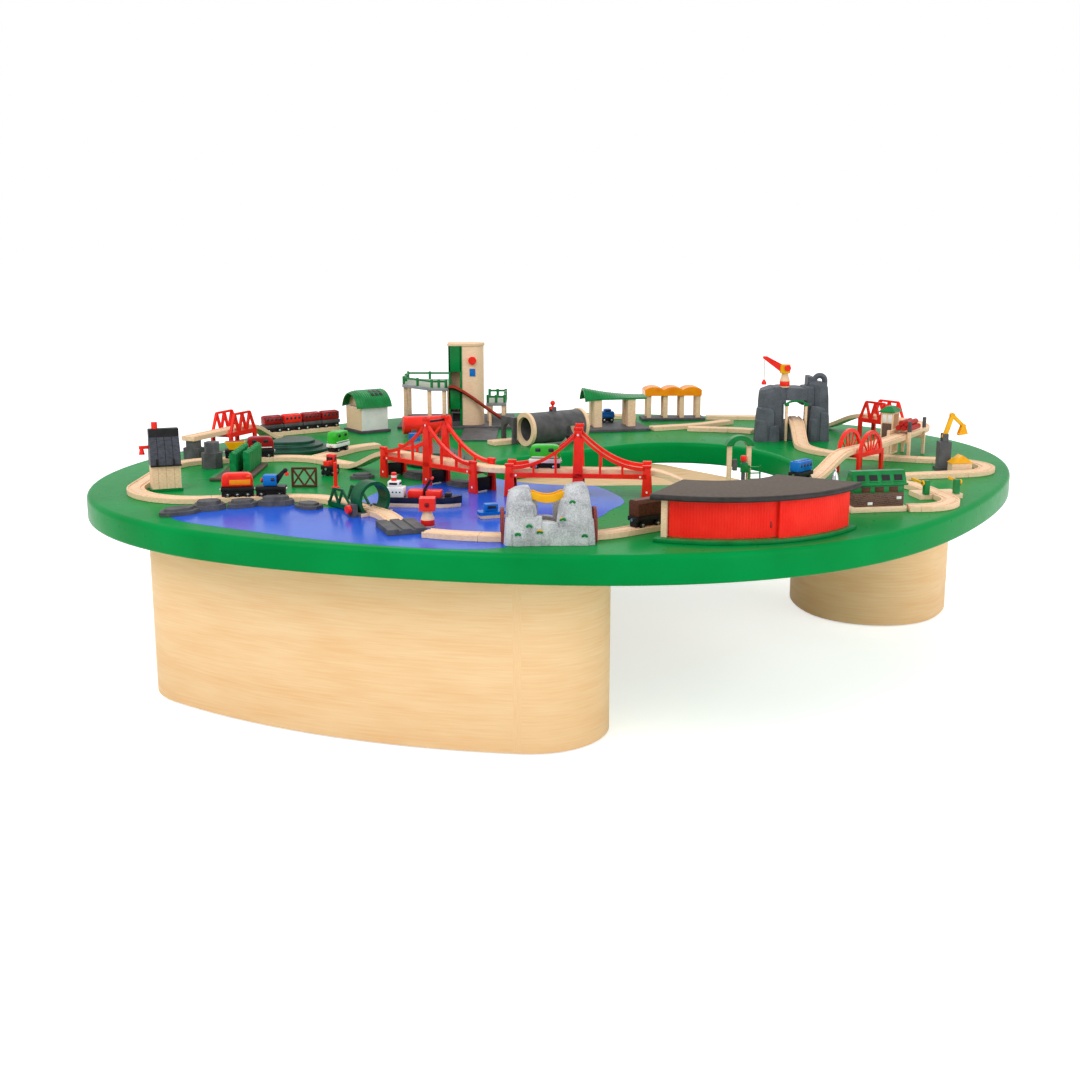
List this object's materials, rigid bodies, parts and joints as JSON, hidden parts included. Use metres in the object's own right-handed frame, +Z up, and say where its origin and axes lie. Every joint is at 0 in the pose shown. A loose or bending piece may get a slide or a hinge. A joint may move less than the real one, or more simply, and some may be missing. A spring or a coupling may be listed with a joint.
{
  "type": "train table",
  "caption": "Low green play table with a ring-shaped top on oval wooden pedestals, carrying a wooden toy railway with bridges, lake, cranes and sheds.",
  "frame": {"origin": "on the floor under the middle of the table top", "axes": "+Z up, -Y towards the long front pedestal and the viewer, +X to the viewer's right"},
  "size_m": [2.3028, 2.0752, 0.6952],
  "materials": {
    "green_top": "semi-gloss green lacquer",
    "lake_blue": "blue sheet",
    "maple_laminate": "matt maple laminate",
    "plain_board": "bare board",
    "zinc_steel": "zinc plated",
    "beech": "sealed beech",
    "grey_plastic": "matt grey",
    "stone_grey": "rough grey",
    "pale_rock": "rough speckled",
    "hill_green": "rough dark green",
    "red_plastic": "bright red",
    "green_plastic": "bright green",
    "yellow_plastic": "bright yellow",
    "roof_grey": "matt grey-brown",
    "dark_brown": "stained wood",
    "black_plastic": "matt black",
    "string": "twisted string"
  },
  "bodies": {
    "table": {"table_top": "green_top", "lake_panel": "lake_blue", "pedestal_front": "maple_laminate", "pedestal_right": "maple_laminate", "pedestal_rear": "maple_laminate", "pedestal_frames": "plain_board", "pedestal_fixings": "zinc_steel", "under_shelf": "plain_board", "ground_track": "beech", "raised_track": "beech", "grey_plates": "grey_plastic", "shore_rocks": "stone_grey", "hills_and_hedges": "hill_green", "twin_peak_rock": "pale_rock", "rope_bridge": "yellow_plastic", "grey_mountain": "stone_grey", "suspension_bridges": "red_plastic", "truss_bridges": "red_plastic", "bascule_base": "grey_plastic", "mill_house": "beech", "station_house": "pale_rock", "platform_station": "beech", "toy_roofs": "green_plastic", "canopy_posts": "beech", "garage_tower": "beech", "garage_decks": "beech", "garage_slide": "red_plastic", "storage_tank": "red_plastic", "log_tunnel": "stone_grey", "shed_body": "red_plastic", "shed_roof": "roof_grey", "yard_frames": "beech", "crossing_base": "green_plastic", "digger_tower": "grey_plastic", "crane_feet": "beech", "parked_trains": "red_plastic", "boats": "red_plastic"},
    "bascule_leaf": {"bascule_leaf": "green_plastic"},
    "bascule_knob": {"bascule_knob": "red_plastic"},
    "lift_car": {"lift_car": "grey_plastic"},
    "lift_knob": {"lift_knob": "red_plastic"},
    "tunnel_lever": {"tunnel_lever": "red_plastic"},
    "shed_door": {"shed_door": "red_plastic"},
    "crossing_gate_left": {"crossing_gate_left": "yellow_plastic"},
    "crossing_gate_right": {"crossing_gate_right": "yellow_plastic"},
    "digger_boom": {"digger_boom": "yellow_plastic"},
    "digger_bucket": {"digger_bucket": "yellow_plastic"},
    "crane_head": {"crane_head": "yellow_plastic", "hoist_string": "string"},
    "crane_winch": {"crane_winch": "red_plastic"},
    "crane_hook": {"crane_hook": "red_plastic"},
    "harbour_head": {"harbour_head": "red_plastic"},
    "cargo_train": {"cargo_engine": "red_plastic", "crane_wagon": "dark_brown"},
    "wagon_cab": {"wagon_cab": "lake_blue"},
    "engine_axle_front": {"engine_axle_front": "black_plastic"},
    "engine_axle_middle": {"engine_axle_middle": "black_plastic"},
    "engine_axle_rear": {"engine_axle_rear": "black_plastic"},
    "wagon_axle_front": {"wagon_axle_front": "black_plastic"},
    "wagon_axle_rear": {"wagon_axle_rear": "black_plastic"}
  },
  "joints": [
    {"name": "bascule_lift", "type": "hinge", "parent": "table", "child": "bascule_leaf", "pos_m": [-0.454, -0.6235, 0.447], "axis": [0.766, 0.6428, 0], "range_deg": [0, 50]},
    {"name": "bascule_knob_turn", "type": "hinge", "parent": "table", "child": "bascule_knob", "pos_m": [-0.47838, -0.68312, 0.456], "axis": [0.766, 0.6428, 0], "range_deg": [0, 100]},
    {"name": "lift_rise", "type": "slide", "parent": "table", "child": "lift_car", "axis": [0, 0, 1], "range_m": [0, 0.16]},
    {"name": "lift_knob_turn", "type": "hinge", "parent": "table", "child": "lift_knob", "pos_m": [-0.279, 0.656, 0.644], "axis": [0, 1, 0], "range_deg": [0, 721]},
    {"name": "tunnel_lever_tilt", "type": "hinge", "parent": "table", "child": "tunnel_lever", "pos_m": [-0.04, 0.352, 0.5385], "axis": [-0.5592, 0.829, 0], "range_deg": [-30, 30]},
    {"name": "shed_door_slide", "type": "hinge", "parent": "table", "child": "shed_door", "pos_m": [0.283, -0.622, 0.48], "axis": [0, 0, 1], "range_deg": [0, 33]},
    {"name": "crossing_gate_left_lift", "type": "hinge", "parent": "table", "child": "crossing_gate_left", "pos_m": [0.77979, -0.48655, 0.4772], "axis": [0.9848, 0.1736, 0], "range_deg": [0, 75]},
    {"name": "crossing_gate_right_lift", "type": "hinge", "parent": "table", "child": "crossing_gate_right", "pos_m": [0.86764, -0.47106, 0.4772], "axis": [0.9848, 0.1736, 0], "range_deg": [0, 75]},
    {"name": "digger_boom_swing", "type": "hinge", "parent": "table", "child": "digger_boom", "pos_m": [0.936, -0.092, 0.524], "axis": [0, 1, 0], "range_deg": [-15, 30]},
    {"name": "digger_bucket_tip", "type": "hinge", "parent": "digger_boom", "child": "digger_bucket", "pos_m": [0.98, -0.092, 0.552], "axis": [0, 1, 0], "range_deg": [-40, 40]},
    {"name": "crane_swivel", "type": "hinge", "parent": "table", "child": "crane_head", "pos_m": [0.621, 0.425, 0.63], "axis": [0, 0, 1], "range_deg": [-90, 90]},
    {"name": "hook_hoist", "type": "slide", "parent": "crane_head", "child": "crane_hook", "axis": [0, 0, 1], "range_m": [-0.006, 0.05], "deforming": ["hoist_string"]},
    {"name": "crane_winch_turn", "type": "hinge", "parent": "crane_head", "child": "crane_winch", "pos_m": [0.625, 0.406, 0.646], "axis": [0, -1, 0], "range_deg": [-90, 720]},
    {"name": "harbour_swivel", "type": "hinge", "parent": "table", "child": "harbour_head", "pos_m": [-0.304, -0.78, 0.474], "axis": [0, 0, 1], "range_deg": [-90, 90]},
    {"name": "train_run", "type": "hinge", "parent": "table", "child": "cargo_train", "pos_m": [-0.647, -1.099, 0.4563], "axis": [0, 0, 1], "range_deg": [-4.5, 3]},
    {"name": "wagon_cab_turn", "type": "hinge", "parent": "cargo_train", "child": "wagon_cab", "pos_m": [-0.67422, -0.49962, 0.4763], "axis": [0, 0, 1], "range_deg": [-120, 120]},
    {"name": "engine_axle_rear_roll", "type": "hinge", "parent": "cargo_train", "child": "engine_axle_rear", "pos_m": [-0.76875, -0.51107, 0.4563], "axis": [-0.1668, 0.986, 0], "range_deg": [-260, 390]},
    {"name": "engine_axle_middle_roll", "type": "hinge", "parent": "cargo_train", "child": "engine_axle_middle", "pos_m": [-0.74706, -0.5074, 0.4563], "axis": [-0.1668, 0.986, 0], "range_deg": [-260, 390]},
    {"name": "engine_axle_front_roll", "type": "hinge", "parent": "cargo_train", "child": "engine_axle_front", "pos_m": [-0.72537, -0.50373, 0.4563], "axis": [-0.1668, 0.986, 0], "range_deg": [-260, 390]},
    {"name": "wagon_axle_rear_roll", "type": "hinge", "parent": "cargo_train", "child": "wagon_axle_rear", "pos_m": [-0.6942, -0.50052, 0.4563], "axis": [-0.0454, 0.999, 0], "range_deg": [-260, 390]},
    {"name": "wagon_axle_front_roll", "type": "hinge", "parent": "cargo_train", "child": "wagon_axle_front", "pos_m": [-0.65424, -0.49871, 0.4563], "axis": [-0.0454, 0.999, 0], "range_deg": [-260, 390]}
  ],
  "couplings": [
    {"joint": "bascule_knob_turn", "follows": "bascule_lift", "ratio": 2},
    {"joint": "lift_knob_turn", "follows": "lift_rise", "rad_per_m": 78.54},
    {"joint": "crane_winch_turn", "follows": "hook_hoist", "rad_per_m": 250},
    {"joint": "engine_axle_rear_roll", "follows": "train_run", "ratio": -85.714},
    {"joint": "engine_axle_middle_roll", "follows": "train_run", "ratio": -85.714},
    {"joint": "engine_axle_front_roll", "follows": "train_run", "ratio": -85.714},
    {"joint": "wagon_axle_rear_roll", "follows": "train_run", "ratio": -85.714},
    {"joint": "wagon_axle_front_roll", "follows": "train_run", "ratio": -85.714}
  ]
}
